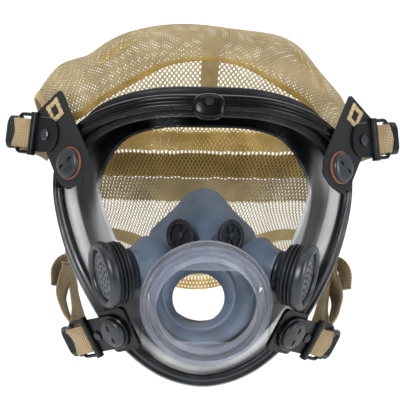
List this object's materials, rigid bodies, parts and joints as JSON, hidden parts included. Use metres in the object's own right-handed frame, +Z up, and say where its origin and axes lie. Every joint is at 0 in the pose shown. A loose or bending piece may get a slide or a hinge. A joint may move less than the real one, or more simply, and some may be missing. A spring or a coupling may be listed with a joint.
{
  "type": "full face respirator",
  "caption": "Full face respirator for firefighting: wide clear lens, rubber face seal, nose cup, speech diaphragms, round regulator port, and a net head harness with buckled webbing straps.",
  "frame": {"origin": "middle of the face opening, at the plane where the wearer's face meets the seal", "axes": "+Y from the lens towards the back of the wearer's head, +Z up, +X to the right of a viewer who faces the lens"},
  "size_m": [0.2814, 0.2383, 0.2386],
  "materials": {
    "clear": "clear gloss",
    "ringClear": "cloudy clear",
    "bezelBlack": "satin",
    "bezelSlate": "satin",
    "sealRubber": "matte",
    "cupSilicone": "satin",
    "darkRubber": "matte",
    "plateGrey": "satin",
    "slatePlastic": "satin",
    "washerOrange": "matte",
    "blackMetal": "satin black",
    "rivetMetal": "dark satin",
    "tanWebbing": "woven",
    "blackWebbing": "woven",
    "netBeige": "open knitted net"
  },
  "bodies": {
    "facepiece": {"lens": "clear", "upper_bezel": "bezelBlack", "lower_bezel": "bezelSlate", "face_seal": "sealRubber", "port_ring": "ringClear", "port_gasket": "darkRubber", "brow_boss": "bezelBlack", "brow_screw": "rivetMetal", "nose_cup": "cupSilicone", "inhalation_valve_seat_left": "darkRubber", "inhalation_valve_seat_right": "darkRubber", "voicemitter_housing_left": "darkRubber", "voicemitter_rim_left": "slatePlastic", "voicemitter_grille_left": "plateGrey", "voicemitter_diaphragm_left": "blackMetal", "voicemitter_duct_left": "cupSilicone", "upper_tab_left": "blackWebbing", "upper_washer_left": "washerOrange", "upper_button_left": "slatePlastic", "lower_lug_left": "bezelBlack", "lower_button_left": "slatePlastic", "upper_strap_left": "tanWebbing", "lower_strap_left": "tanWebbing", "voicemitter_housing_right": "darkRubber", "voicemitter_rim_right": "slatePlastic", "voicemitter_grille_right": "plateGrey", "voicemitter_diaphragm_right": "blackMetal", "voicemitter_duct_right": "cupSilicone", "upper_tab_right": "blackWebbing", "upper_washer_right": "washerOrange", "upper_button_right": "slatePlastic", "lower_lug_right": "bezelBlack", "lower_button_right": "slatePlastic", "upper_strap_right": "tanWebbing", "lower_strap_right": "tanWebbing", "head_net": "netBeige", "nape_band": "tanWebbing", "crown_tape": "tanWebbing"},
    "upper_buckle_left": {"upper_buckle_left": "blackMetal", "upper_wire_left": "blackMetal", "upper_strap_loop_left": "tanWebbing", "upper_rivet_left": "rivetMetal"},
    "upper_release_left": {"upper_release_left": "slatePlastic"},
    "lower_buckle_left": {"lower_buckle_left": "blackMetal", "lower_wire_left": "blackMetal", "lower_strap_loop_left": "tanWebbing", "lower_rivet_left": "rivetMetal"},
    "lower_release_left": {"lower_release_left": "slatePlastic"},
    "inhalation_flap_left": {"inhalation_flap_left": "darkRubber"},
    "upper_buckle_right": {"upper_buckle_right": "blackMetal", "upper_wire_right": "blackMetal", "upper_strap_loop_right": "tanWebbing", "upper_rivet_right": "rivetMetal"},
    "upper_release_right": {"upper_release_right": "slatePlastic"},
    "lower_buckle_right": {"lower_buckle_right": "blackMetal", "lower_wire_right": "blackMetal", "lower_strap_loop_right": "tanWebbing", "lower_rivet_right": "rivetMetal"},
    "lower_release_right": {"lower_release_right": "slatePlastic"},
    "inhalation_flap_right": {"inhalation_flap_right": "darkRubber"}
  },
  "joints": [
    {"name": "upper_swivel_left", "type": "hinge", "parent": "facepiece", "child": "upper_buckle_left", "pos_m": [-0.10897, -0.01961, 0.06216], "axis": [-0.6904, -0.6829, 0.2388], "range_deg": [-18, 18]},
    {"name": "upper_release_lift_left", "type": "hinge", "parent": "upper_buckle_left", "child": "upper_release_left", "pos_m": [-0.13029, -0.00359, 0.06057], "axis": [0.1033, 0.2336, 0.9668], "range_deg": [0, 60]},
    {"name": "lower_swivel_left", "type": "hinge", "parent": "facepiece", "child": "lower_buckle_left", "pos_m": [-0.0595, -0.0725, -0.0615], "axis": [-0.6295, -0.7371, -0.2458], "range_deg": [-14, 14]},
    {"name": "lower_release_lift_left", "type": "hinge", "parent": "lower_buckle_left", "child": "lower_release_left", "pos_m": [-0.08666, -0.04882, -0.0768], "axis": [-0.4384, 0.0758, 0.8956], "range_deg": [0, 60]},
    {"name": "inhalation_lift_left", "type": "slide", "parent": "facepiece", "child": "inhalation_flap_left", "axis": [0.6262, 0.7474, -0.2222], "range_m": [0, 0.0015], "stiffness_N_per_m": 20},
    {"name": "upper_swivel_right", "type": "hinge", "parent": "facepiece", "child": "upper_buckle_right", "pos_m": [0.10897, -0.01961, 0.06216], "axis": [0.6904, -0.6829, 0.2388], "range_deg": [-18, 18]},
    {"name": "upper_release_lift_right", "type": "hinge", "parent": "upper_buckle_right", "child": "upper_release_right", "pos_m": [0.13029, -0.00359, 0.06057], "axis": [0.1033, -0.2336, -0.9668], "range_deg": [0, 60]},
    {"name": "lower_swivel_right", "type": "hinge", "parent": "facepiece", "child": "lower_buckle_right", "pos_m": [0.0595, -0.0725, -0.0615], "axis": [0.6295, -0.7371, -0.2458], "range_deg": [-14, 14]},
    {"name": "lower_release_lift_right", "type": "hinge", "parent": "lower_buckle_right", "child": "lower_release_right", "pos_m": [0.08666, -0.04882, -0.0768], "axis": [-0.4384, -0.0758, -0.8956], "range_deg": [0, 60]},
    {"name": "inhalation_lift_right", "type": "slide", "parent": "facepiece", "child": "inhalation_flap_right", "axis": [-0.6262, 0.7474, -0.2222], "range_m": [0, 0.0015], "stiffness_N_per_m": 20}
  ]
}
